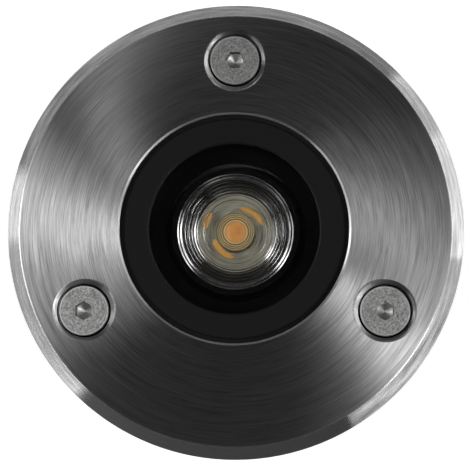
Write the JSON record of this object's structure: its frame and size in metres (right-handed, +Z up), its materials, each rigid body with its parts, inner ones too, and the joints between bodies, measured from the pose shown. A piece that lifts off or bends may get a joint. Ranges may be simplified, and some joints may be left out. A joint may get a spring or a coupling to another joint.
{
  "type": "in ground well light",
  "caption": "Round in-ground light with a brushed steel trim, countersunk hex screws, tilting lens under glass and a ribbed barrel with a cable gland.",
  "frame": {"origin": "on the light's axis at ground level, where the underside of the trim's rim rests", "axes": "+Z up out of the ground, +Y towards the trim screw that stands alone"},
  "size_m": [0.11, 0.11, 0.1126],
  "materials": {
    "brushed_stainless": "circularly brushed stainless steel",
    "screw_steel": "satin stainless steel",
    "black_anodised": "matt black anodised",
    "black_silicone": "matt black silicone rubber",
    "clear_glass": "clear toughened glass",
    "cast_aluminium": "die-cast aluminium, grey powder coat",
    "zinc_steel": "zinc-plated sheet steel",
    "white_ptfe": "slippery white plastic",
    "white_nylon": "off-white nylon",
    "green_board": "green solder mask",
    "brass": "turned brass",
    "ferrite": "dark grey ferrite",
    "capacitor_sleeve": "dark blue sleeve",
    "chip_plastic": "black moulding",
    "terminal_plastic": "green moulding",
    "black_polyamide": "black glass-filled nylon, fine texture",
    "nickel_brass": "nickel-plated brass",
    "black_screw": "black oxide",
    "lead_insulation": "silicone insulation",
    "clear_lens": "clear moulded optical lens",
    "white_board": "white solder mask",
    "led_ceramic": "pale ceramic with gold rings",
    "amber_phosphor": "amber phosphor",
    "grey_pad": "grey thermal pad",
    "bare_aluminium": "turned aluminium"
  },
  "bodies": {
    "body": {"trim_ring": "brushed_stainless", "trim_screws": "screw_steel", "boss_inserts": "screw_steel", "glare_ring": "black_anodised", "upper_gasket": "black_silicone", "cover_glass": "clear_glass", "lower_gasket": "black_silicone", "housing": "cast_aluminium", "bearing_plate": "zinc_steel", "plate_screws": "screw_steel", "slip_washer": "white_ptfe", "keeper_ring": "zinc_steel", "keeper_screws": "screw_steel", "pan_lock_screw": "screw_steel", "lead_socket": "white_nylon", "driver_board": "green_board", "driver_standoffs": "brass", "driver_screws": "screw_steel", "driver_inductor": "ferrite", "driver_capacitors": "capacitor_sleeve", "driver_chip": "chip_plastic", "terminal_block": "terminal_plastic", "base_cap": "black_polyamide", "cap_o_ring": "black_silicone", "cap_screws": "screw_steel", "gland_washer": "black_silicone", "gland_body": "nickel_brass", "gland_lock_nut": "nickel_brass", "gland_seal": "black_silicone", "gland_nut": "nickel_brass", "vent_seal": "black_silicone", "vent_plug": "nickel_brass"},
    "turntable": {"turntable": "zinc_steel", "inner_baffle": "black_anodised", "baffle_screws": "black_screw", "lamp_leads": "lead_insulation"},
    "lamp": {"lamp_cup": "black_anodised", "lens": "clear_lens", "led_board": "white_board", "led_package": "led_ceramic", "led_phosphor": "amber_phosphor", "lamp_screws": "screw_steel", "thermal_pad": "grey_pad", "heat_sink": "bare_aluminium", "pivot_screws": "screw_steel", "pivot_washers": "white_nylon"}
  },
  "joints": [
    {"name": "lamp_pan", "type": "hinge", "parent": "body", "child": "turntable", "pos_m": [0, 0, -0.0265], "axis": [0, 0, 1], "range_deg": [-175, 175]},
    {"name": "lamp_tilt", "type": "hinge", "parent": "turntable", "child": "lamp", "pos_m": [0, 0, -0.014], "axis": [1, 0, 0], "range_deg": [-8, 8], "deforming": ["lamp_leads"]}
  ]
}
